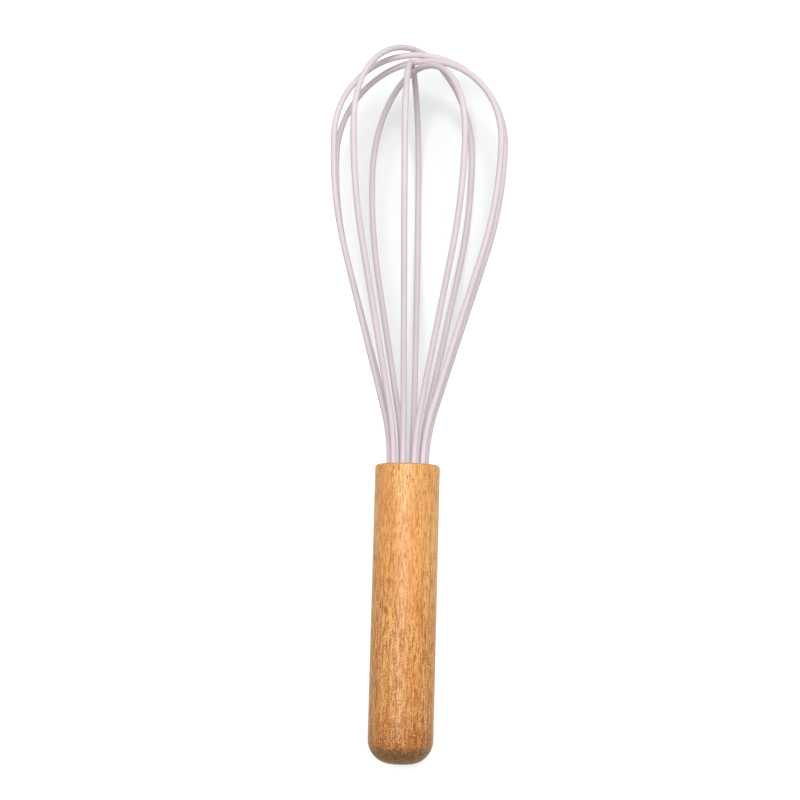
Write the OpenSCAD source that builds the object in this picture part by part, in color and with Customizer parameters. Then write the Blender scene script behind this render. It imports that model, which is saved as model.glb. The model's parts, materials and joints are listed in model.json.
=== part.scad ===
// Balloon whisk: five silicone covered wire loops set in a turned beech handle.
// The whisk is modelled along its own axis, with the butt at zero and the tip towards +Y.
// A last step lays it on its side, resting on the butt and on two neighbouring wires.

/* [Handle] */
// Length of the handle
handle_l = 109; // [90:1:130]
// Diameter of the handle
handle_d = 24; // [21:0.5:30]
// Radius of the rounded butt
butt_r = 8.8; // [5:0.1:10]
// Radius of the eased edge at the mouth
rim_r = 1.1; // [0.3:0.1:1.4]
// Width of the chamfer at the mouth of the bore
mouth_chamfer = 0.4; // [0.1:0.1:0.8]

/* [Head] */
// Length of the wires beyond the mouth
head_l = 161; // [140:0.5:190]
// Width of the head over the wires
head_d = 70; // [55:0.5:80]
// Diameter of the circle on which the legs leave the handle
ring_d = 13.4; // [11.6:0.1:14]
// Turn of the head against its legs in the handle, in degrees
head_turn = 11; // [0:0.5:15]

/* [Wires] */
// Diameter of a silicone sleeve
sleeve_d = 2.3; // [2:0.1:2.8]
// Diameter of the steel wire in a sleeve
core_d = 1.2; // [0.8:0.1:1.5]
// Length of bare wire set in the resin
bare_l = 24; // [10:1:25]
// Depth of the resin behind the wire ends
resin_end = 3.4; // [2:0.1:6]

/* [Wire holder] */
// Length of the holder
holder_l = 10; // [6:1:12]
// Depth of the holder's face below the mouth
holder_recess = 0.6; // [0.2:0.1:2]
// Width of the land outside the holes
holder_land = 0.8; // [0.6:0.1:1.2]

/* [Fits] */
// Clearance of the holder and the resin in the bore
bore_gap = 0.05; // [0.02:0.01:0.1]
// Clearance of a sleeve in its hole
hole_gap = 0.1; // [0.05:0.05:0.2]
// Clearance of the steel wire in its sleeve and in the resin
core_gap = 0.03; // [0.02:0.01:0.05]
// Clearance between two wires that cross at the tip
crossing_gap = 0.05; // [0.03:0.01:0.2]

/* [Hidden] */
LOOPS = 5;

// Colours
BEECH = [0.86, 0.61, 0.36];
PINK = [0.93, 0.87, 0.89];
PLUG_PINK = [0.88, 0.78, 0.81];
STEEL = [0.72, 0.73, 0.75];
RESIN = [0.90, 0.84, 0.66];

// How far a cut runs past the face that it opens
overrun = 1;

// Sides of a wire, and its steps along each stretch of half a loop
WIRE_SIDES = 10;
FLARE_STEPS = 4;
STRAIGHT_STEPS = 2;
SIDE_STEPS = 6;
CROWN_STEPS = 12;
ROUND_FN = 96;

// Sizes of the handle, the holder and the wires, worked out
handle_r = handle_d / 2;
sleeve_r = sleeve_d / 2;
core_r = core_d / 2;
ring_r = ring_d / 2;
hole_r = sleeve_r + hole_gap;
holder_r = ring_r + hole_r + holder_land;
bore_r = holder_r + bore_gap;
exit_y = handle_l - holder_recess;
holder_y = exit_y - holder_l;
bore_l = holder_recess + holder_l + bare_l + resin_end;
bore_end_y = handle_l - bore_l;
tip_y = handle_l + head_l - sleeve_r;
head_r = (head_d - sleeve_d) / 2;
// Two wires that cross on a slant come nearer to each other than their step along the axis
crossing_slack = 0.05;
crossing_step = sleeve_d + crossing_gap + crossing_slack;

// The loops in the order in which they cross at the tip, from the top.
// Each has its place round the axis in steps, its width, and how far its crown leans to the right
// and up, as shares of the head's radius.
LOOP_STEPS = [-1, -2, 2, 0, 1];
width_shares = [1.03, 0.99, 1, 1, 0.98];
lean_shares = [[-0.02, -0.05], [0.07, -0.01], [0.02, -0.01], [-0.06, 0.03], [0.03, 0.18]];
lean_power = 1.5;
step_angle = 180 / LOOPS;

// How much steeper a leg's straight run is than the line from the handle to the widest point,
// the flare's part of the two bends, and the part of a loop's height in which its legs bend across
bend_share = 0.36;
flare_share = 0.33;
turn_share = 0.77;

function unit(v) = v / norm(v);
function eased(t) = let (u = max(0, min(1, t))) u * u * (3 - 2 * u);

// Half a loop flattened, as [radius, y] from inside the handle to the tip: a straight end,
// an arc outwards, a straight run, an arc back to the widest point and a quarter circle.
function half_loop(half_w, top_y, start_y) =
    let (
        wide_y = top_y - half_w,
        rise = half_w - ring_r,
        run = wide_y - exit_y,
        slope = (1 + bend_share) * atan2(rise, run),
        bends_r = (run * sin(slope) - rise * cos(slope)) / (1 - cos(slope)),
        flare_r = flare_share * bends_r,
        side_r = bends_r - flare_r,
        straight_l = (run - bends_r * sin(slope)) / cos(slope),
        flare_end = [ring_r + flare_r * (1 - cos(slope)), exit_y + flare_r * sin(slope)]
    )
    concat(
        [[ring_r, start_y]],
        [for (i = [0:FLARE_STEPS]) let (a = slope * i / FLARE_STEPS)
            [ring_r + flare_r * (1 - cos(a)), exit_y + flare_r * sin(a)]],
        [for (i = [1:STRAIGHT_STEPS])
            flare_end + straight_l * i / STRAIGHT_STEPS * [sin(slope), cos(slope)]],
        [for (i = [1:SIDE_STEPS]) let (a = slope * (1 - i / SIDE_STEPS))
            [half_w - side_r * (1 - cos(a)), wide_y - side_r * sin(a)]],
        [for (i = [1:CROWN_STEPS]) let (a = 90 * i / CROWN_STEPS)
            [half_w * cos(a), wide_y + half_w * sin(a)]]
    );

// One leg in space, from inside the handle to the tip. side is 1 for the front leg, -1 for the back.
// A loop stands at its own turn, and its legs bend across to their places in the turned holder.
function leg(loop, side, start_y) =
    let (
        top_y = tip_y - loop * crossing_step,
        half_w = head_r * width_shares[loop],
        turn = LOOP_STEPS[loop] * step_angle,
        hole_turn = turn - head_turn,
        to_hole = ring_r * [sin(hole_turn) - sin(turn), cos(hole_turn) - cos(turn)]
    )
    [for (p = half_loop(half_w, top_y, start_y))
        let (
            up = max(0, (p[1] - exit_y) / (top_y - exit_y)),
            near = 1 - eased(up / turn_share),
            lean = head_r * pow(up, lean_power) * lean_shares[loop]
        )
        [
            side * (p[0] * sin(turn) + near * to_hole[0]) + lean[0],
            p[1],
            side * (p[0] * cos(turn) + near * to_hole[1]) + lean[1]
        ]];

function wire_path(loop, start_y) =
    let (front = leg(loop, 1, start_y), back = leg(loop, -1, start_y))
    concat(front, [for (i = [len(back) - 2:-1:0]) back[i]]);

// Rings of points round a path, square to it, with their first point in the loop's plane
function ring_points(path, r, loop) =
    let (
        last = len(path) - 1,
        turn = LOOP_STEPS[loop] * step_angle,
        across = [cos(turn), 0, -sin(turn)]
    )
    [for (i = [0:last])
        let (
            along = unit(path[min(i + 1, last)] - path[max(i - 1, 0)]),
            side = unit(across - (across * along) * along),
            out = cross(along, side)
        )
        for (j = [0:WIRE_SIDES - 1])
            let (a = 360 * j / WIRE_SIDES)
            path[i] + r * (cos(a) * out + sin(a) * side)];

// The two triangles of a tube's face between ring i and ring i + 1
function face_pair(i, j, first) =
    let (
        k = (j + 1) % WIRE_SIDES,
        a = first + i * WIRE_SIDES + j,
        b = first + i * WIRE_SIDES + k
    )
    [[a, b, b + WIRE_SIDES], [a, b + WIRE_SIDES, a + WIRE_SIDES]];

function flipped(faces) = [for (f = faces) [f[2], f[1], f[0]]];

function wall_faces(rings, first) =
    [for (i = [0:rings - 2], j = [0:WIRE_SIDES - 1]) each face_pair(i, j, first)];

// A flat end between an outer ring and a ring of the bore
function end_faces(outer, inner) =
    [for (j = [0:WIRE_SIDES - 1])
        let (k = (j + 1) % WIRE_SIDES)
        each [[outer + j, inner + j, inner + k], [outer + j, inner + k, outer + k]]];

function disc_faces(first) = [for (j = [1:WIRE_SIDES - 2]) [first, first + j + 1, first + j]];

module solid_wire(path, r, loop) {
    rings = len(path);
    far_end = (rings - 1) * WIRE_SIDES;
    polyhedron(
        points = ring_points(path, r, loop),
        faces = concat(wall_faces(rings, 0), disc_faces(0), flipped(disc_faces(far_end)))
    );
}

module hollow_wire(path, r, hollow_r, loop) {
    rings = len(path);
    far_end = (rings - 1) * WIRE_SIDES;
    hollow = rings * WIRE_SIDES;
    polyhedron(
        points = concat(ring_points(path, r, loop), ring_points(path, hollow_r, loop)),
        faces = concat(
            wall_faces(rings, 0),
            flipped(wall_faces(rings, hollow)),
            end_faces(0, hollow),
            flipped(end_faces(far_end, hollow + far_end))
        )
    );
}

// How the whisk lies. It rolls until the back legs of two loops bear on the table alike, and
// tilts until they touch it together with the rounded butt.
function rolled(p, roll) =
    [p[0] * cos(roll) + p[2] * sin(roll), p[1], p[2] * cos(roll) - p[0] * sin(roll)];

function bearing_tilt(p) =
    let (
        run = p[1] - butt_r,
        drop = butt_r - handle_r - p[2],
        apart = norm([run, drop])
    )
    acos((butt_r - sleeve_r) / apart) - atan2(run, drop);

function leg_tilt(points, roll) = max([for (p = points) bearing_tilt(rolled(p, roll))]);

RIGHT_LOOP = 3;
LEFT_LOOP = 0;
right_leg = leg(RIGHT_LOOP, -1, holder_y);
left_leg = leg(LEFT_LOOP, -1, holder_y);

function found_roll(low, high, tries) =
    let (roll = (low + high) / 2)
    tries == 0 ? roll
    : leg_tilt(right_leg, roll) > leg_tilt(left_leg, roll) ? found_roll(roll, high, tries - 1)
    : found_roll(low, roll, tries - 1);

ROLL_TRIES = 20;
lie_roll = found_roll(0, step_angle, ROLL_TRIES);
all_points = [for (loop = [0:LOOPS - 1], side = [1, -1], p = leg(loop, side, holder_y))
    rolled(p, lie_roll)];
lie_tilt = max([for (p = all_points) bearing_tilt(p)]);

// Where the laid whisk has to move so that its box is centred over the origin and stands on z = 0
wire_xs = [for (p = all_points) p[0]];
wire_ys = [for (p = all_points) p[1] * cos(lie_tilt) - p[2] * sin(lie_tilt)];
butt_low_y = butt_r * cos(lie_tilt) - (handle_r - butt_r) * sin(lie_tilt) - butt_r;
middle_x = (max(wire_xs) + min(wire_xs)) / 2;
middle_y = (max(wire_ys) + sleeve_r + butt_low_y) / 2;
lift = butt_r * (1 - sin(lie_tilt)) + (handle_r - butt_r) * cos(lie_tilt);

module laid() {
    translate([-middle_x, -middle_y, lift])
        rotate([lie_tilt, 0, 0])
            rotate([0, lie_roll, 0])
                children();
}

// Turns a shape that is round about Z so that it is round about the whisk's axis
module turned() {
    rotate([-90, 0, 0]) children();
}

// The quarter of a disc that rounds an outer corner, with the corner up or down
module corner_round(r, upwards) {
    intersection() {
        circle(r = r, $fn = ROUND_FN);
        translate([0, upwards ? 0 : -r]) square(r);
    }
}

module handle_outline() {
    square([handle_r - butt_r, butt_r]);
    translate([handle_r - butt_r, butt_r]) corner_round(butt_r, false);
    translate([0, butt_r]) square([handle_r, handle_l - rim_r - butt_r]);
    translate([0, handle_l - rim_r]) square([handle_r - rim_r, rim_r]);
    translate([handle_r - rim_r, handle_l - rim_r]) corner_round(rim_r, true);
}

module handle() {
    color(BEECH) laid() turned() difference() {
        rotate_extrude($fn = ROUND_FN) handle_outline();
        translate([0, 0, bore_end_y]) cylinder(h = bore_l + overrun, r = bore_r, $fn = ROUND_FN);
        translate([0, 0, handle_l - mouth_chamfer]) cylinder(
            h = mouth_chamfer + overrun,
            r1 = bore_r,
            r2 = bore_r + mouth_chamfer + overrun,
            $fn = ROUND_FN
        );
    }
}

// Repeats what is given at the place of each leg in the handle
module at_each_leg() {
    for (i = [0:2 * LOOPS - 1])
        rotate(i * step_angle - head_turn - 90) translate([ring_r, 0]) children();
}

module wire_holder() {
    color(PLUG_PINK) laid() turned() difference() {
        translate([0, 0, holder_y]) cylinder(h = holder_l, r = holder_r, $fn = ROUND_FN);
        at_each_leg() translate([0, 0, holder_y - overrun])
            cylinder(h = holder_l + 2 * overrun, r = hole_r, $fn = ROUND_FN);
    }
}

module resin_plug() {
    color(RESIN) laid() turned() difference() {
        translate([0, 0, bore_end_y])
            cylinder(h = holder_y - bore_end_y, r = bore_r - bore_gap, $fn = ROUND_FN);
        at_each_leg() translate([0, 0, holder_y - bare_l - core_gap])
            cylinder(h = bare_l + core_gap + overrun, r = core_r + core_gap, $fn = ROUND_FN);
    }
}

module wire_core(loop) {
    color(STEEL) laid() solid_wire(wire_path(loop, holder_y - bare_l), core_r, loop);
}

module silicone_sleeve(loop) {
    color(PINK) laid() hollow_wire(wire_path(loop, holder_y), sleeve_r, core_r + core_gap, loop);
}

handle();
wire_holder();
resin_plug();
for (i = [1:LOOPS]) {
    wire_core(i - 1);
    silicone_sleeve(i - 1);
}
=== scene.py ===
"""Balloon whisk: five silicone covered wire loops set in a turned beech handle, on a white table."""

import json
from math import atan2, cos, pi, radians, sin

import bmesh
import bpy
from bpy.props import FloatProperty, FloatVectorProperty, PointerProperty
from mathutils import Color, Matrix, Vector


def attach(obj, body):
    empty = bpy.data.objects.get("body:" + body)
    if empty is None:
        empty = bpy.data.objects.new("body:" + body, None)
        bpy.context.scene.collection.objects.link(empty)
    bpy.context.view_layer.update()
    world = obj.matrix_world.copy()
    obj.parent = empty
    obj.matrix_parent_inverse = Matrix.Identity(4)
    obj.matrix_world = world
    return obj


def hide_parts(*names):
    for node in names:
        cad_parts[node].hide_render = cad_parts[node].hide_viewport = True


bl_info = {
    "name": "Balloon Whisk",
    "version": (1, 0, 0),
    "blender": (4, 5, 0),
    "location": "View3D > Sidebar > Whisk",
    "description": "Makes a balloon whisk with silicone sleeves and a beech handle on a white table",
    "category": "Object",
}

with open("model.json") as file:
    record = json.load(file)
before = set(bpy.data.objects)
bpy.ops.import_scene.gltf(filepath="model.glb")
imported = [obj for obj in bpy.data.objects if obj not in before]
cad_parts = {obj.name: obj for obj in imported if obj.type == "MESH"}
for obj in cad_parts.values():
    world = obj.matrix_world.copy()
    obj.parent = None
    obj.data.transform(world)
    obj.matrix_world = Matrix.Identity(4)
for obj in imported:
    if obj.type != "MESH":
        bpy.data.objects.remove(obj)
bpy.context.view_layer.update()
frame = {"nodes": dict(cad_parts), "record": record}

MM = 0.001
BODY = "root"

MOUNTS = {mount["name"]: mount for mount in frame["record"]["mounts"]}
GRIP = MOUNTS["handle_grip"]
BUTT = MOUNTS["butt_flat"]

# How the whisk lies: its place and tilt come from its mounts, its roll is onto two wires
BUTT_PLACE = Vector(BUTT["pos_m"])
TOWARDS_TIP = -Vector(BUTT["axis"])
LIE_TILT = atan2(TOWARDS_TIP.z, TOWARDS_TIP.y)
LIE_ROLL = radians(12.3977)
TILTED = Matrix.Translation(BUTT_PLACE) @ Matrix.Rotation(LIE_TILT, 4, "X")
WHISK = TILTED @ Matrix.Rotation(LIE_ROLL, 4, "Y")

# The loops in the order in which they cross at the tip, from the top. Each has its place round
# the axis in steps, its width, and how far its crown leans to the right and up, as shares of
# the head's radius.
LOOPS = 5
STEP_ANGLE = pi / LOOPS
LOOP_STEPS = (-1, -2, 2, 0, 1)
WIDTH_SHARES = (1.03, 0.99, 1.0, 1.0, 0.98)
LEAN_SHARES = ((-0.02, -0.05), (0.07, -0.01), (0.02, -0.01), (-0.06, 0.03), (0.03, 0.18))
LEAN_POWER = 1.5
BEND_SHARE = 0.36
FLARE_SHARE = 0.33
TURN_SHARE = 0.77

# The two legs of a loop, by the side of the axis on which they are
IN_FRONT = 1
BEHIND = -1

# Steps along half a loop, and sides of a sleeve and of the handle
FLARE_STEPS = 12
STRAIGHT_STEPS = 6
SIDE_STEPS = 18
CROWN_STEPS = 28
HIDDEN_STEPS = 4
SLEEVE_SIDES = 28
HANDLE_SIDES = 160
BUTT_STEPS = 24
RIM_STEPS = 8
BARREL_STEPS = 40

# Edges that turn further than this look sharp, and points nearer than this are one
SHARP_ANGLE = radians(40.0)
SAME_PLACE = 0.001 * MM


def length(name, description, metres):
    return FloatProperty(name=name, description=description, default=metres, min=0.0, unit="LENGTH")


def colour(name, description, red, green, blue):
    return FloatVectorProperty(
        name=name,
        description=description,
        default=(red / 255, green / 255, blue / 255),
        min=0.0,
        max=1.0,
        size=3,
        subtype="COLOR_GAMMA",
    )


class WhiskSizes(bpy.types.PropertyGroup):
    """Sizes of the whisk"""

    handle_d: length("Handle diameter", "Diameter of the handle", 2 * GRIP["dims"]["r_mm"] * MM)
    grip_l: length("Grip length", "Length of the handle's round part", GRIP["dims"]["length_mm"] * MM)
    butt_r: length("Butt radius", "Radius of the rounded butt", 8.8 * MM)
    rim_r: length("Rim radius", "Radius of the eased edge at the mouth", 1.1 * MM)
    bore_d: length("Bore diameter", "Diameter of the bore in the mouth", 17.6 * MM)
    bore_l: length("Bore depth", "Depth of the bore in the mouth", 38.0 * MM)
    mouth_chamfer: length("Mouth chamfer", "Width of the chamfer at the mouth of the bore", 0.4 * MM)
    head_l: length("Head length", "Length of the wires beyond the mouth", 161.0 * MM)
    head_d: length("Head width", "Width of the head over the wires", 70.0 * MM)
    ring_d: length("Leg circle", "Circle on which the legs leave the handle", 13.4 * MM)
    sleeve_d: length("Sleeve diameter", "Diameter of a silicone sleeve", 2.3 * MM)
    hollow_d: length("Sleeve hollow", "Diameter of the hollow in a sleeve", 1.26 * MM)
    holder_l: length("Holder length", "Length of the wire holder", 10.0 * MM)
    holder_recess: length("Holder recess", "Depth of the holder's face below the mouth", 0.6 * MM)
    crossing_gap: length("Crossing gap", "Clearance between two wires that cross", 0.05 * MM)
    crossing_slack: length("Crossing slack", "More room for wires that cross on a slant", 0.05 * MM)
    head_turn: FloatProperty(
        name="Head turn",
        description="Turn of the head against its legs in the handle",
        default=radians(11.0),
        subtype="ANGLE",
    )


class WhiskColours(bpy.types.PropertyGroup):
    """Colours of the whisk"""

    silicone: colour("Silicone", "Colour of the sleeves", 226, 214, 219)
    silicone_deep: colour("Silicone, deep", "Colour of the sleeves' denser patches", 218, 201, 209)
    silicone_dust: colour("Silicone, dust", "Colour of the dust on the sleeves", 240, 233, 234)
    beech_light: colour("Beech, light", "Colour of the handle's pale fibres", 255, 203, 124)
    beech_dark: colour("Beech, dark", "Colour of the handle's dark fibres and short rays", 172, 80, 4)
    beech_warm: colour("Beech, warm", "Colour of the handle's late wood and patches", 222, 130, 56)
    beech_fleck: colour("Beech, flecks", "Colour of the long rays in the handle", 140, 66, 10)
    # On the butt this colour is partly end grain and partly painted shade
    beech_end_and_shade: colour("Beech, end grain", "Colour of the handle's end grain", 88, 57, 20)
    # This colour is painted shade, for the light that falls off towards the butt
    beech_butt_shade: colour("Beech, butt shade", "Colour that the handle darkens to at its butt", 152, 80, 18)
    holder: colour("Wire holder", "Colour of the wire holder", 224, 199, 207)
    resin: colour("Resin", "Colour of the resin in the bore", 230, 214, 168)
    steel: colour("Steel", "Colour of the wires in the sleeves", 184, 186, 191)
    table: colour("Table", "Colour of the table", 210, 213, 214)


def sizes():
    return bpy.context.scene.whisk_sizes


def shade(name):
    """One of the whisk's colours, as a shader takes it"""
    value = Color(getattr(bpy.context.scene.whisk_colours, name)).from_srgb_to_scene_linear()
    return (value.r, value.g, value.b, 1.0)


def handle_length():
    size = sizes()
    return size.butt_r + size.grip_l + size.rim_r


# Building blocks of the materials. Most of a noise lies within its usual range.
NUMBER_OPERATIONS = ("DISTANCE", "DOT_PRODUCT", "LENGTH")
USUAL_RANGE = (0.3, 0.7)


def add_node(tree, kind, inputs=None, **settings):
    """Adds a node whose inputs are given a value or another node's output"""
    node = tree.nodes.new(kind)
    for name, value in settings.items():
        setattr(node, name, value)
    for key, value in (inputs or {}).items():
        if isinstance(value, bpy.types.NodeSocket):
            tree.links.new(value, node.inputs[key])
        else:
            node.inputs[key].default_value = value
    return node


def maths(tree, operation, first, second=0.0):
    return add_node(tree, "ShaderNodeMath", {0: first, 1: second}, operation=operation).outputs[0]


def vectors(tree, operation, first, second=(0.0, 0.0, 0.0)):
    """An operation on vectors, whose result is a vector or, for some, a number"""
    node = add_node(tree, "ShaderNodeVectorMath", {0: first, 1: second}, operation=operation)
    return node.outputs["Value" if operation in NUMBER_OPERATIONS else "Vector"]


def weighed_sum(tree, *parts):
    """The sum of values, each times its share"""
    weighed = [maths(tree, "MULTIPLY", value, share) for value, share in parts]
    total = weighed[0]
    for value in weighed[1:]:
        total = maths(tree, "ADD", total, value)
    return total


def spread(tree, value, low, high, new_low=0.0, new_high=1.0):
    """A value's range from low to high, eased onto a new one"""
    inputs = {"Value": value, "From Min": low, "From Max": high, "To Min": new_low, "To Max": new_high}
    return add_node(tree, "ShaderNodeMapRange", inputs, interpolation_type="SMOOTHSTEP").outputs[0]


def blend_colours(tree, share, first, second):
    inputs = {0: share, 6: first, 7: second}
    return add_node(tree, "ShaderNodeMix", inputs, data_type="RGBA").outputs[2]


def stretched(tree, place, scale):
    """A place with each of its directions scaled by itself"""
    return add_node(tree, "ShaderNodeMapping", {"Vector": place, "Scale": scale}).outputs[0]


def noise(tree, place, scale, detail=2.0, distortion=0.0):
    inputs = {"Vector": place, "Scale": scale, "Detail": detail, "Distortion": distortion}
    return add_node(tree, "ShaderNodeTexNoise", inputs).outputs["Fac"]


def stretched_noise(tree, place, stretch, scale, detail):
    return noise(tree, stretched(tree, place, stretch), scale, detail)


def spots(tree, place, scale, middle, edge, luck_range=None, channel=0):
    """Spots that fade from middle to edge, of which some are left out if a range of luck is given"""
    cells = add_node(tree, "ShaderNodeTexVoronoi", {"Vector": place, "Scale": scale})
    spot = spread(tree, cells.outputs["Distance"], middle, edge, 1.0, 0.0)
    if luck_range is None:
        return spot
    luck = add_node(tree, "ShaderNodeSeparateColor", {0: cells.outputs["Color"]}).outputs[channel]
    return maths(tree, "MULTIPLY", spot, spread(tree, luck, *luck_range))


def new_material(name):
    """An empty material and its shader"""
    material = bpy.data.materials.new(name)
    material.use_nodes = True
    tree = material.node_tree
    tree.nodes.clear()
    shader = tree.nodes.new("ShaderNodeBsdfPrincipled")
    output = tree.nodes.new("ShaderNodeOutputMaterial")
    tree.links.new(shader.outputs[0], output.inputs["Surface"])
    return material, tree, shader


def object_place(tree, whole=None):
    """Object coordinates, measured in the space of a matrix if one is given"""
    place = add_node(tree, "ShaderNodeTexCoord").outputs["Object"]
    if whole is None:
        return place
    inputs = {"Vector": place, "Location": whole.translation, "Rotation": whole.to_euler("XYZ")}
    return add_node(tree, "ShaderNodeMapping", inputs, vector_type="TEXTURE").outputs[0]


def raise_surface(tree, shader, height, strength, distance):
    inputs = {"Height": height, "Strength": strength, "Distance": distance}
    bump = add_node(tree, "ShaderNodeBump", inputs)
    tree.links.new(bump.outputs[0], shader.inputs["Normal"])


def colour_surface(tree, shader, base, rough):
    tree.links.new(base, shader.inputs["Base Color"])
    tree.links.new(rough, shader.inputs["Roughness"])


# The beech. Its grain runs along the handle, and its rays run in from the bark, which is turned
# a little to the left of what faces the camera.
GRAIN_TURN = radians(-6.0)
PITH = Vector((9.0, 0.0, -46.0)) * MM
SWAY = 1.2 * MM
RING_SCALE = 118.0
RING_WAVER = 1.5
LATE_WOOD_RANGE = (0.45, 1.0)

# Layers of the grain: how each is stretched along it, its scale and its detail
SWAY_LAYER = ((1.0, 0.2, 1.0), 60.0, 2.0)
STREAK_LAYER = ((1.0, 0.04, 1.0), 1000.0, 3.0)
BAND_LAYER = ((1.0, 0.06, 1.0), 380.0, 2.0)
DASH_LAYER = ((1.0, 0.11, 1.0), 2000.0, 2.0)
PORE_LAYER = ((1.0, 0.8, 1.0), 2600.0, 1.0)
PATCH_LAYER = ((1.0, 0.25, 1.0), 75.0, 2.0)
DASH_RANGE = (0.465, 0.58)
TONE_RANGE = (0.43, 0.57)
PATCH_RANGE = (0.4, 0.68)

# Rays: how many of their cells there are to a metre each way, where a ray fades between its middle
# and its edge, and the share of them that is left out
LONG_RAYS = ((1 / (1.05 * MM), 1 / (5.6 * MM), 1 / (10.0 * MM)), 0.1, 0.3, 0.35)
SHORT_RAYS = ((1 / (0.7 * MM), 1 / (4.2 * MM), 1 / (5.0 * MM)), 0.12, 0.34, 0.15)
CUT_ACROSS_RANGE = (0.25, 0.75)

# How much of the fibres' tone comes from each layer, and how much each feature colours the wood
STREAK_SHARE = 0.3
BAND_SHARE = 0.1
PORE_SHARE = 0.6
DASH_SHARE = 0.52
TONE_SHARE = 0.42
WARM_SHARE = 0.34
LATE_WOOD_SHARE = 0.25
SHORT_RAY_SHARE = 0.75
LONG_RAY_SHARE = 0.9
# The next two shares are of painted shade towards the butt
BUTT_SHADE_SHARE = 0.38
LOW_BUTT_SHADE_SHARE = 0.4
MOUTH_END_SHARE = 0.5

# Places along the handle, measured from the butt. The wood gets darker from PALE_Y to DEEP_Y, and a
# further darkening starts at the next place, grows from the one after and is full at the last. Both
# darkenings are painted shade for the light that falls off towards the butt.
PALE_Y = 109.0 * MM
DEEP_Y = 40.0 * MM
BUTT_SHADE_Y = 85.0 * MM
LOW_BUTT_SHADE_Y = 20.0 * MM
FULL_BUTT_SHADE_Y = 5.0 * MM

# How far a surface faces along the handle where its end grain begins to show and where it shows in
# full. On the butt, which faces away from the light, this darkening is partly painted shade.
BUTT_FACING = (-0.08, -0.55)
MOUTH_FACING = (0.4, 0.95)
END_ROUGHNESS = 0.14


def rays(tree, place, cells, middle, edge, rare):
    """Spindles along the grain, of which the share called rare is left out"""
    return spots(tree, stretched(tree, place, cells), 1.0, middle, edge, luck_range=(rare, 1.0))


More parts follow.
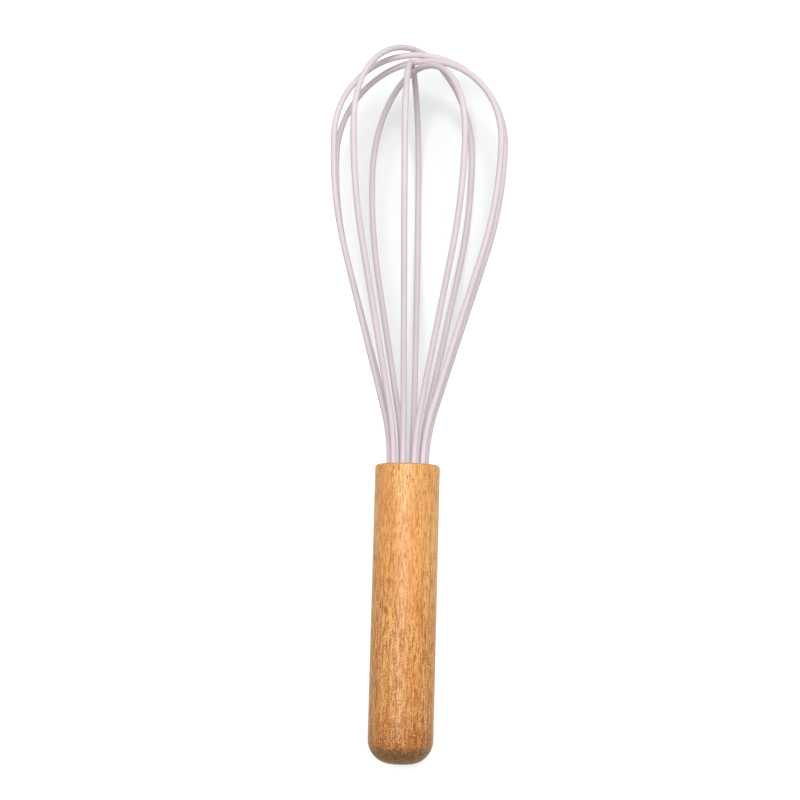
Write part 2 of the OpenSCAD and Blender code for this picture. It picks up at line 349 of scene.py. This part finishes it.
def beech_material():
    material, tree, shader = new_material("beech")
    log = WHISK @ Matrix.Rotation(GRAIN_TURN, 4, "Y")
    place = object_place(tree, log)
    along = add_node(tree, "ShaderNodeSeparateXYZ", {0: place}).outputs["Y"]
    normal = add_node(tree, "ShaderNodeTexCoord").outputs["Normal"]
    sway = maths(tree, "MULTIPLY", stretched_noise(tree, place, *SWAY_LAYER), SWAY)
    swayed = vectors(tree, "ADD", sway, place)

    inputs = {"Vector": vectors(tree, "SUBTRACT", swayed, PITH), "Scale": RING_SCALE}
    inputs.update({"Distortion": RING_WAVER, "Detail": 2.0, "Detail Scale": 0.6})
    form = {"wave_type": "RINGS", "rings_direction": "Y", "wave_profile": "SAW"}
    rings = add_node(tree, "ShaderNodeTexWave", inputs, **form).outputs["Fac"]
    late_wood = spread(tree, rings, *LATE_WOOD_RANGE)

    # The rays show where they are cut across, and fade where the surface runs along them
    from_bark = log.to_3x3() @ Vector((0.0, 0.0, 1.0))
    cut_across = maths(tree, "ABSOLUTE", vectors(tree, "DOT_PRODUCT", normal, from_bark))
    cut_share = spread(tree, cut_across, *CUT_ACROSS_RANGE)
    long_rays = maths(tree, "MULTIPLY", rays(tree, swayed, *LONG_RAYS), cut_share)
    short_rays = maths(tree, "MULTIPLY", rays(tree, swayed, *SHORT_RAYS), cut_share)

    # Short dark dashes and pale fibres between them
    dashes = stretched_noise(tree, swayed, *DASH_LAYER)
    fibres = weighed_sum(
        tree,
        (stretched_noise(tree, swayed, *STREAK_LAYER), STREAK_SHARE),
        (stretched_noise(tree, swayed, *BAND_LAYER), BAND_SHARE),
        (stretched_noise(tree, swayed, *PORE_LAYER), PORE_SHARE),
    )
    dash_share = spread(tree, dashes, *DASH_RANGE)
    tone_share = spread(tree, fibres, *TONE_RANGE)
    dark_share = weighed_sum(tree, (dash_share, DASH_SHARE), (tone_share, TONE_SHARE))
    # Painted shade: more dark fibres towards the butt, where the light falls off
    darker_to_butt = spread(tree, along, PALE_Y, DEEP_Y, new_low=0.76, new_high=1.08)
    dark_share = maths(tree, "MULTIPLY", dark_share, darker_to_butt)
    base = blend_colours(tree, dark_share, shade("beech_light"), shade("beech_dark"))

    patches = spread(tree, stretched_noise(tree, place, *PATCH_LAYER), *PATCH_RANGE)
    for feature, share, tint in (
        (patches, WARM_SHARE, "beech_warm"),
        (late_wood, LATE_WOOD_SHARE, "beech_warm"),
        (short_rays, SHORT_RAY_SHARE, "beech_dark"),
        (long_rays, LONG_RAY_SHARE, "beech_fleck"),
    ):
        base = blend_colours(tree, maths(tree, "MULTIPLY", feature, share), base, shade(tint))

    # Painted shade darkens the handle towards its butt, where the light falls off, and most of all in
    # its open fibres
    butt_shade = spread(tree, along, BUTT_SHADE_Y, FULL_BUTT_SHADE_Y, new_high=BUTT_SHADE_SHARE)
    more_butt_shade = spread(tree, along, LOW_BUTT_SHADE_Y, FULL_BUTT_SHADE_Y, new_high=LOW_BUTT_SHADE_SHARE)
    open_fibres = spread(tree, fibres, 0.4, 0.6, new_low=0.5, new_high=1.5)
    butt_shade_share = maths(tree, "MULTIPLY", maths(tree, "ADD", butt_shade, more_butt_shade), open_fibres)
    base = blend_colours(tree, butt_shade_share, base, shade("beech_butt_shade"))

    # End grain, where the surface turns across the grain. At the mouth it is end grain alone. On the
    # butt, which faces away from the light, it is partly end grain and partly painted shade.
    facing = vectors(tree, "DOT_PRODUCT", normal, TOWARDS_TIP)
    end_fibres = spread(tree, fibres, 0.44, 0.56, new_low=0.58)
    butt_end_grain_and_shade = maths(tree, "MULTIPLY", spread(tree, facing, *BUTT_FACING), end_fibres)
    mouth_share = spread(tree, facing, *MOUTH_FACING, new_high=MOUTH_END_SHARE)
    end_grain_and_shade = maths(tree, "ADD", butt_end_grain_and_shade, mouth_share)
    base = blend_colours(tree, end_grain_and_shade, base, shade("beech_end_and_shade"))

    rough = spread(tree, dark_share, 0.0, 0.9, new_low=0.36, new_high=0.46)
    rough = maths(tree, "ADD", rough, maths(tree, "MULTIPLY", end_grain_and_shade, END_ROUGHNESS))
    colour_surface(tree, shader, base, rough)
    shader.inputs["IOR"].default_value = 1.48
    shader.inputs["Sheen Weight"].default_value = 0.35
    shader.inputs["Sheen Roughness"].default_value = 0.45
    shader.inputs["Sheen Tint"].default_value = shade("beech_light")
    height = maths(tree, "MULTIPLY", maths(tree, "ADD", dark_share, long_rays), -1.0)
    raise_surface(tree, shader, height, strength=0.4, distance=0.03 * MM)
    return material


# The silicone reads its place on a sleeve as if the sleeve were straight. The die that it was drawn
# through has left faint lines along it, and some dust has settled on it.
SLEEVE_PLACE = "laid_straight"
DIE_LAYER = ((1.0, 1.0, 0.03), 2600.0, 2.0)
DIE_SHARE = 0.8
DUST_SHARE = 0.5
DUST_ROUGHNESS = 0.2


def silicone_material():
    material, tree, shader = new_material("silicone")
    place = add_node(tree, "ShaderNodeAttribute", attribute_name=SLEEVE_PLACE).outputs["Vector"]
    patches = noise(tree, place, scale=45.0, detail=3.0)
    grain = noise(tree, place, scale=5200.0, detail=2.0)
    die_lines = stretched_noise(tree, place, *DIE_LAYER)
    dust = spots(tree, place, 620.0, middle=0.05, edge=0.13, luck_range=(0.72, 0.95), channel=1)
    deep_share = spread(tree, patches, 0.35, 0.7, new_low=0.1, new_high=0.6)
    base = blend_colours(tree, deep_share, shade("silicone"), shade("silicone_deep"))
    grain_share = spread(tree, grain, 0.45, 0.75, new_high=0.3)
    base = blend_colours(tree, grain_share, base, shade("silicone_deep"))
    dust_share = maths(tree, "MULTIPLY", dust, DUST_SHARE)
    base = blend_colours(tree, dust_share, base, shade("silicone_dust"))
    rough = spread(tree, patches, *USUAL_RANGE, new_low=0.46, new_high=0.58)
    rough = maths(tree, "ADD", rough, maths(tree, "MULTIPLY", dust, DUST_ROUGHNESS))
    colour_surface(tree, shader, base, rough)
    shader.inputs["IOR"].default_value = 1.41
    shader.inputs["Subsurface Weight"].default_value = 0.12
    shader.inputs["Subsurface Radius"].default_value = (1.0, 0.55, 0.5)
    shader.inputs["Subsurface Scale"].default_value = 0.6 * MM
    shader.inputs["Sheen Weight"].default_value = 0.04
    shader.inputs["Sheen Roughness"].default_value = 0.5
    height = maths(tree, "ADD", grain, maths(tree, "MULTIPLY", die_lines, DIE_SHARE))
    height = maths(tree, "ADD", height, dust)
    raise_surface(tree, shader, height, strength=0.22, distance=0.02 * MM)
    return material


def holder_material():
    material, tree, shader = new_material("moulded_holder")
    place = object_place(tree, WHISK)
    mottle = noise(tree, place, scale=260.0, detail=3.0)
    grain = noise(tree, place, scale=3800.0, detail=2.0)
    share = spread(tree, mottle, *USUAL_RANGE, new_high=0.5)
    base = blend_colours(tree, share, shade("holder"), shade("silicone_deep"))
    rough = spread(tree, mottle, *USUAL_RANGE, new_low=0.4, new_high=0.54)
    colour_surface(tree, shader, base, rough)
    raise_surface(tree, shader, grain, strength=0.25, distance=0.02 * MM)
    return material


def resin_material():
    material, tree, shader = new_material("cast_resin")
    place = object_place(tree, WHISK)
    cloud = noise(tree, place, scale=140.0, detail=3.0, distortion=0.6)
    bubbles = spots(tree, place, 900.0, middle=0.08, edge=0.2)
    base = blend_colours(tree, spread(tree, cloud, *USUAL_RANGE), shade("resin"), shade("beech_light"))
    rough = spread(tree, cloud, *USUAL_RANGE, new_low=0.12, new_high=0.22)
    colour_surface(tree, shader, base, rough)
    pits = maths(tree, "MULTIPLY", bubbles, -1.0)
    raise_surface(tree, shader, pits, strength=0.4, distance=0.05 * MM)
    return material


# The steel is darker along the lines that the drawing left on it
DRAWN_LAYER = ((1.0, 0.04, 1.0), 3000.0, 3.0)
DRAWN_SHARE = 0.4
DRAWN_SHADE = (0.3, 0.3, 0.32, 1.0)


def steel_material():
    material, tree, shader = new_material("drawn_steel")
    place = object_place(tree, WHISK)
    drawn = stretched_noise(tree, place, *DRAWN_LAYER)
    cloud = noise(tree, place, scale=400.0, detail=2.0)
    dark_share = maths(tree, "MULTIPLY", spread(tree, drawn, *USUAL_RANGE), DRAWN_SHARE)
    base = blend_colours(tree, dark_share, shade("steel"), DRAWN_SHADE)
    rough = spread(tree, cloud, *USUAL_RANGE, new_low=0.25, new_high=0.4)
    colour_surface(tree, shader, base, rough)
    shader.inputs["Metallic"].default_value = 1.0
    raise_surface(tree, shader, drawn, strength=0.3, distance=0.01 * MM)
    return material


def carry(node_name, material):
    """Gives a node of the frame its material"""
    node = frame["nodes"][node_name]
    node.data.materials.clear()
    node.data.materials.append(material)


def finish_piece(name, shape, material, node_name):
    """Lays a shape down as a smooth piece, which rides on the body and stands for a node"""
    bmesh.ops.recalc_face_normals(shape, faces=shape.faces[:])
    bmesh.ops.transform(shape, matrix=WHISK, verts=shape.verts[:])
    mesh = bpy.data.meshes.new(name)
    shape.to_mesh(mesh)
    shape.free()
    mesh.materials.append(material)
    mesh.shade_smooth()
    mesh.set_sharp_from_angle(angle=SHARP_ANGLE)
    piece = bpy.data.objects.new(name, mesh)
    bpy.context.scene.collection.objects.link(piece)
    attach(piece, BODY)
    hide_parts(node_name)


# The handle


def arc(centre, radius, start, end, steps):
    """Points on an arc as (radius, along), from a start angle to an end angle"""
    turns = [start + (end - start) * i / steps for i in range(steps + 1)]
    return [(centre[0] + radius * cos(turn), centre[1] + radius * sin(turn)) for turn in turns]


def handle_outline():
    """Half of the handle's section, from the middle of the butt round to the bore's bottom"""
    size = sizes()
    handle_r = size.handle_d / 2
    bore_r = size.bore_d / 2
    end = handle_length()
    flat_r = handle_r - size.butt_r
    outline = [(0.0, 0.0), (flat_r / 2, 0.0)]
    outline += arc((flat_r, size.butt_r), size.butt_r, -pi / 2, 0.0, BUTT_STEPS)
    run = size.grip_l / BARREL_STEPS
    outline += [(handle_r, size.butt_r + run * i) for i in range(1, BARREL_STEPS)]
    outline += arc((handle_r - size.rim_r, end - size.rim_r), size.rim_r, 0.0, pi / 2, RIM_STEPS)
    outline += [(bore_r + size.mouth_chamfer, end), (bore_r, end - size.mouth_chamfer)]
    outline += [(bore_r, end - size.bore_l), (0.0, end - size.bore_l)]
    return outline


class WHISK_OT_handle(bpy.types.Operator):
    """Turn the beech handle and give it its grain"""

    bl_idname = "whisk.handle"
    bl_label = "Handle"

    def execute(self, context):
        shape = bmesh.new()
        outline = handle_outline()
        last = shape.verts.new((outline[0][0], outline[0][1], 0.0))
        for radius, along in outline[1:]:
            point = shape.verts.new((radius, along, 0.0))
            shape.edges.new((last, point))
            last = point
        bmesh.ops.spin(
            shape,
            geom=shape.verts[:] + shape.edges[:],
            cent=(0.0, 0.0, 0.0),
            axis=(0.0, 1.0, 0.0),
            angle=2 * pi,
            steps=HANDLE_SIDES,
            use_merge=True,
        )
        bmesh.ops.remove_doubles(shape, verts=shape.verts[:], dist=SAME_PLACE)
        finish_piece("beech_handle", shape, beech_material(), "handle")
        return {"FINISHED"}


# The loops


def eased(share):
    share = max(0.0, min(1.0, share))
    return share * share * (3 - 2 * share)


def half_loop(half_width, top_y, start_y, exit_y, ring_r):
    """Half a loop flattened, as (radius, along) from inside the handle to the tip"""
    wide_y = top_y - half_width
    rise = half_width - ring_r
    run = wide_y - exit_y
    slope = (1 + BEND_SHARE) * atan2(rise, run)
    bends_r = (run * sin(slope) - rise * cos(slope)) / (1 - cos(slope))
    flare_r = FLARE_SHARE * bends_r
    side_r = bends_r - flare_r
    straight_l = (run - bends_r * sin(slope)) / cos(slope)
    points = [(ring_r, start_y + (exit_y - start_y) * i / HIDDEN_STEPS) for i in range(HIDDEN_STEPS)]
    for i in range(FLARE_STEPS + 1):
        turn = slope * i / FLARE_STEPS
        points.append((ring_r + flare_r * (1 - cos(turn)), exit_y + flare_r * sin(turn)))
    flare_end = points[-1]
    for i in range(1, STRAIGHT_STEPS + 1):
        run_l = straight_l * i / STRAIGHT_STEPS
        points.append((flare_end[0] + run_l * sin(slope), flare_end[1] + run_l * cos(slope)))
    for i in range(1, SIDE_STEPS + 1):
        turn = slope * (1 - i / SIDE_STEPS)
        points.append((half_width - side_r * (1 - cos(turn)), wide_y - side_r * sin(turn)))
    for i in range(1, CROWN_STEPS + 1):
        turn = pi / 2 * i / CROWN_STEPS
        points.append((half_width * cos(turn), wide_y + half_width * sin(turn)))
    return points


def leg(loop, side, start_y):
    """One leg of a loop, in front or behind, from inside the handle to the tip"""
    size = sizes()
    sleeve_r = size.sleeve_d / 2
    head_r = (size.head_d - size.sleeve_d) / 2
    exit_y = handle_length() - size.holder_recess
    tip_y = handle_length() + size.head_l - sleeve_r
    top_y = tip_y - loop * (size.sleeve_d + size.crossing_gap + size.crossing_slack)
    ring_r = size.ring_d / 2
    turn = LOOP_STEPS[loop] * STEP_ANGLE
    hole_turn = turn - size.head_turn
    outwards = Vector((sin(turn), 0.0, cos(turn)))
    to_hole = ring_r * (Vector((sin(hole_turn), 0.0, cos(hole_turn))) - outwards)
    points = []
    for radius, along in half_loop(head_r * WIDTH_SHARES[loop], top_y, start_y, exit_y, ring_r):
        up = max(0.0, (along - exit_y) / (top_y - exit_y))
        near = 1 - eased(up / TURN_SHARE)
        lean_x, lean_z = (head_r * up**LEAN_POWER * share for share in LEAN_SHARES[loop])
        point = side * (radius * outwards + near * to_hole)
        points.append(point + Vector((lean_x, along, lean_z)))
    return points


def section_places(path, loop):
    """A place on each point of a loop's path that looks along it, with its X across the loop"""
    turn = LOOP_STEPS[loop] * STEP_ANGLE
    across = Vector((cos(turn), 0.0, -sin(turn)))
    places = []
    for i, point in enumerate(path):
        along = (path[min(i + 1, len(path) - 1)] - path[max(i - 1, 0)]).normalized()
        side = (across - across.dot(along) * along).normalized()
        place = Matrix((side, along.cross(side), along)).transposed().to_4x4()
        place.translation = point
        places.append(place)
    return places


def draw_tube(shape, places, radius, straight_place):
    """Draws a ring of points out along the places, and gives the edges of both open ends"""
    circle = bmesh.ops.create_circle(shape, segments=SLEEVE_SIDES, radius=radius, matrix=places[0])
    ring = circle["verts"]
    edges = list({edge for point in ring for edge in point.link_edges})
    first = edges
    drawn = 0.0
    for i, place in enumerate(places):
        if i:
            back = places[i - 1]
            made = bmesh.ops.extrude_edge_only(shape, edges=edges)["geom"]
            ring = [part for part in made if isinstance(part, bmesh.types.BMVert)]
            inside = set(ring)
            edges = [
                part
                for part in made
                if isinstance(part, bmesh.types.BMEdge) and inside.issuperset(part.verts)
            ]
            bmesh.ops.transform(shape, matrix=place @ back.inverted(), verts=ring)
            drawn += (place.translation - back.translation).length
        flat = place.inverted()
        for point in ring:
            here = flat @ point.co
            point[straight_place] = Vector((here.x, here.y, drawn))
    return first, edges


class WHISK_OT_sleeves(bpy.types.Operator):
    """Draw the five silicone sleeves round their loops"""

    bl_idname = "whisk.sleeves"
    bl_label = "Silicone sleeves"

    def execute(self, context):
        size = sizes()
        material = silicone_material()
        start_y = handle_length() - size.holder_recess - size.holder_l
        for loop in range(LOOPS):
            back_down = leg(loop, BEHIND, start_y)[-2::-1]
            path = leg(loop, IN_FRONT, start_y) + back_down
            places = section_places(path, loop)
            shape = bmesh.new()
            straight_place = shape.verts.layers.float_vector.new(SLEEVE_PLACE)
            outer = draw_tube(shape, places, size.sleeve_d / 2, straight_place)
            inner = draw_tube(shape, places, size.hollow_d / 2, straight_place)
            for outer_end, inner_end in zip(outer, inner):
                bmesh.ops.bridge_loops(shape, edges=outer_end + inner_end)
            name = "sleeve_" + str(loop + 1)
            finish_piece(name, shape, material, "silicone_" + name)
        return {"FINISHED"}


class WHISK_OT_inner_pieces(bpy.types.Operator):
    """Give the wire holder, the resin and the steel wires their materials"""

    bl_idname = "whisk.inner_pieces"
    bl_label = "Holder, resin and wires"

    def execute(self, context):
        carry("wire_holder", holder_material())
        carry("resin_plug", resin_material())
        steel = steel_material()
        for loop in range(LOOPS):
            carry("wire_core_" + str(loop + 1), steel)
        return {"FINISHED"}


# The stage. The camera's places are measured from the butt, with the picture's right along X.
CAMERA_TURN = LIE_ROLL + radians(4.97)
CAMERA_TARGET = Vector((-3.506, 133.299, 0.0)) * MM
CAMERA_TILT = radians(6.902)
CAMERA_ROLL = radians(1.547)
CAMERA_DISTANCE = 622.4 * MM
CAMERA_LENS = 75.0
SENSOR = 36.0
TABLE_SIZE = 6.0

# The key lamp stands over the tip, to the right, and the table under it is the brightest.
# A long lamp over the handle draws the highlight down its middle.
LIT_PLACE = Vector((0.05, 0.13, 0.0))
KEY_SIZE = 0.45
KEY_PLACE = Vector((0.56, 0.3, 1.15))
KEY_POWER = 8.2
STRIP_WIDTH = 0.28
STRIP_LENGTH = 0.5
STRIP_PLACE = Vector((0.06, -0.08, 1.0))
STRIP_TARGET = Vector((0.0, -0.06, 0.02))
STRIP_POWER = 3.5

# The studio's own light, from the side of the tip and from that of the butt, and the shares of it
# that come from level with the whisk and from above
TIP_AMBIENT = 0.42
BUTT_AMBIENT = 0.22
LEVEL_SHARE = 0.65
ABOVE_SHARE = 1.12

# How much painted light the table gives off for the camera between the wires and round the whisk,
# where it covers the whisk's own shadow, and how much in a gloss. Past WHITE_START it gets whiter, and
# at WHITE_END it is white.
HEAD_GLOW = 0.335
ROUND_GLOW = 0.66
GLOSS_GLOW = 0.15
WHITE_START = 0.3
WHITE_END = 1.5

# The part of the table that the camera sees through the head, which fades out at its edge. There the
# table gives off less painted light, so it is darker in the head's shape.
HEAD_LOW_X = -0.0075
HEAD_WIDE_X = -0.008
UNDER_HANDLE_Y = -0.1
HEAD_LOW_Y = -0.03
HEAD_WIDE_Y = 0.1
HEAD_LOW_R = 0.007
HEAD_WIDE_R = 0.038
HEAD_CAP_L = 0.052
HEAD_EDGE = (0.86, 1.04)


def seen_in_gloss(tree, path):
    """1 for rays that come from a gloss or through glass"""
    return maths(tree, "MAXIMUM", path.outputs["Is Glossy Ray"], path.outputs["Is Transmission Ray"])


def head_shade_share(tree, place):
    """1 on the table where the camera sees it through the head, and 0 round it. Where it is 1, the
    table gives off less painted light and so is darker
    """
    spot = add_node(tree, "ShaderNodeSeparateXYZ", {0: place})
    half_width = spread(tree, spot.outputs["Y"], HEAD_LOW_Y, HEAD_WIDE_Y, HEAD_LOW_R, HEAD_WIDE_R)
    middle = spread(tree, spot.outputs["Y"], HEAD_LOW_Y, HEAD_WIDE_Y, HEAD_LOW_X, HEAD_WIDE_X)
    off_middle = maths(tree, "DIVIDE", maths(tree, "SUBTRACT", spot.outputs["X"], middle), half_width)
    past_wide = maths(tree, "MAXIMUM", maths(tree, "SUBTRACT", spot.outputs["Y"], HEAD_WIDE_Y), 0.0)
    past_wide = maths(tree, "DIVIDE", past_wide, HEAD_CAP_L)
    off_head = add_node(tree, "ShaderNodeCombineXYZ", {0: off_middle, 1: past_wide}).outputs[0]
    inside = spread(tree, vectors(tree, "LENGTH", off_head), *HEAD_EDGE, 1.0, 0.0)
    past_handle = spread(tree, spot.outputs["Y"], UNDER_HANDLE_Y, HEAD_LOW_Y)
    return maths(tree, "MULTIPLY", inside, past_handle)


def table_material():
    """White paper that keeps the shadow seen through the wires, and gives off painted light round the
    whisk that covers its shadow there
    """
    material, tree, shader = new_material("table")
    place = object_place(tree)
    fibre = noise(tree, place, scale=900.0, detail=3.0)
    raise_surface(tree, shader, fibre, strength=0.05, distance=0.02 * MM)
    shader.inputs["Base Color"].default_value = shade("table")
    shader.inputs["Roughness"].default_value = 0.9
    shader.inputs["Specular IOR Level"].default_value = 0.1
    shader.inputs["Emission Color"].default_value = (1.0, 1.0, 1.0, 1.0)
    # Painted light: the table glows for the camera round the whisk, and less in the head's shape
    held_back_light = maths(tree, "MULTIPLY", head_shade_share(tree, place), HEAD_GLOW - ROUND_GLOW)
    away = vectors(tree, "DISTANCE", place, LIT_PLACE)
    far_off = spread(tree, away, WHITE_START, WHITE_END)
    glow = maths(tree, "MAXIMUM", maths(tree, "ADD", ROUND_GLOW, held_back_light), far_off)
    path = add_node(tree, "ShaderNodeLightPath")
    in_camera = maths(tree, "MULTIPLY", path.outputs["Is Camera Ray"], glow)
    in_gloss = maths(tree, "MULTIPLY", seen_in_gloss(tree, path), GLOSS_GLOW)
    tree.links.new(maths(tree, "MAXIMUM", in_camera, in_gloss), shader.inputs["Emission Strength"])
    return material


def add_softbox(name, place, target, width, depth, watts):
    """A soft lamp that looks at a target"""
    light = bpy.data.lights.new(name, "AREA")
    light.shape = "RECTANGLE"
    light.size = width
    light.size_y = depth
    light.energy = watts
    lamp = bpy.data.objects.new(name, light)
    lamp.location = place
    lamp.rotation_euler = (place - target).to_track_quat("Z", "Y").to_euler()
    bpy.context.scene.collection.objects.link(lamp)


def light_world():
    """A white studio seen as it is, which lights the whisk more from the tip than from the butt"""
    world = bpy.data.worlds.new("studio")
    world.use_nodes = True
    tree = world.node_tree
    tree.nodes.clear()
    direction = add_node(tree, "ShaderNodeTexCoord").outputs["Generated"]
    direction = add_node(tree, "ShaderNodeSeparateXYZ", {0: direction})
    ambient = spread(tree, direction.outputs["Y"], -0.8, 0.8, BUTT_AMBIENT, TIP_AMBIENT)
    height_share = spread(tree, direction.outputs["Z"], 0.0, 0.8, LEVEL_SHARE, ABOVE_SHARE)
    ambient = maths(tree, "MULTIPLY", ambient, height_share)
    path = add_node(tree, "ShaderNodeLightPath")
    seen = maths(tree, "MAXIMUM", path.outputs["Is Camera Ray"], seen_in_gloss(tree, path))
    inputs = {0: seen, 2: ambient, 3: 1.0}
    strength = add_node(tree, "ShaderNodeMix", inputs, data_type="FLOAT").outputs[0]
    inputs = {"Color": (1.0, 1.0, 1.0, 1.0), "Strength": strength}
    background = add_node(tree, "ShaderNodeBackground", inputs)
    output = tree.nodes.new("ShaderNodeOutputWorld")
    tree.links.new(background.outputs[0], output.inputs["Surface"])
    bpy.context.scene.world = world


def add_camera():
    """The photograph's view of the whisk"""
    from_butt = TILTED @ Matrix.Rotation(CAMERA_TURN, 4, "Y")
    back = Vector((0.0, -sin(CAMERA_TILT), cos(CAMERA_TILT)))
    upright = Vector((0.0, cos(CAMERA_TILT), sin(CAMERA_TILT)))
    level = Vector((1.0, 0.0, 0.0))
    right = level * cos(CAMERA_ROLL) + upright * sin(CAMERA_ROLL)
    up = upright * cos(CAMERA_ROLL) - level * sin(CAMERA_ROLL)
    place = Matrix((right, up, back)).transposed().to_4x4()
    place.translation = CAMERA_TARGET + back * CAMERA_DISTANCE
    data = bpy.data.cameras.new("camera")
    data.lens = CAMERA_LENS
    data.sensor_width = SENSOR
    camera = bpy.data.objects.new("camera", data)
    camera.matrix_world = from_butt @ place
    bpy.context.scene.collection.objects.link(camera)
    bpy.context.scene.camera = camera


class WHISK_OT_stage(bpy.types.Operator):
    """Lay the white table, and set up the light and the camera"""

    bl_idname = "whisk.stage"
    bl_label = "Table, light and camera"

    def execute(self, context):
        shape = bmesh.new()
        bmesh.ops.create_grid(shape, x_segments=1, y_segments=1, size=TABLE_SIZE / 2)
        mesh = bpy.data.meshes.new("table")
        shape.to_mesh(mesh)
        shape.free()
        mesh.materials.append(table_material())
        table = bpy.data.objects.new("table", mesh)
        context.scene.collection.objects.link(table)
        add_softbox("key", KEY_PLACE, LIT_PLACE, KEY_SIZE, KEY_SIZE, KEY_POWER)
        add_softbox("strip", STRIP_PLACE, STRIP_TARGET, STRIP_WIDTH, STRIP_LENGTH, STRIP_POWER)
        light_world()
        add_camera()
        context.scene.view_settings.view_transform = "Standard"
        return {"FINISHED"}


class WHISK_PT_panel(bpy.types.Panel):
    """Sizes, colours and pieces of the whisk"""

    bl_idname = "WHISK_PT_panel"
    bl_label = "Balloon whisk"
    bl_space_type = "VIEW_3D"
    bl_region_type = "UI"
    bl_category = "Whisk"

    def draw(self, context):
        for operator in OPERATORS:
            self.layout.operator(operator.bl_idname)
        for group in (context.scene.whisk_sizes, context.scene.whisk_colours):
            box = self.layout.box()
            for name in group.__annotations__:
                box.prop(group, name)


OPERATORS = (WHISK_OT_handle, WHISK_OT_sleeves, WHISK_OT_inner_pieces, WHISK_OT_stage)
CLASSES = (WhiskSizes, WhiskColours, *OPERATORS, WHISK_PT_panel)


def register():
    for made in CLASSES:
        bpy.utils.register_class(made)
    bpy.types.Scene.whisk_sizes = PointerProperty(type=WhiskSizes)
    bpy.types.Scene.whisk_colours = PointerProperty(type=WhiskColours)


def unregister():
    del bpy.types.Scene.whisk_colours
    del bpy.types.Scene.whisk_sizes
    for made in reversed(CLASSES):
        bpy.utils.unregister_class(made)


def main():
    register()
    bpy.ops.whisk.handle()
    bpy.ops.whisk.sleeves()
    bpy.ops.whisk.inner_pieces()
    bpy.ops.whisk.stage()


if __name__ == "__main__":
    main()
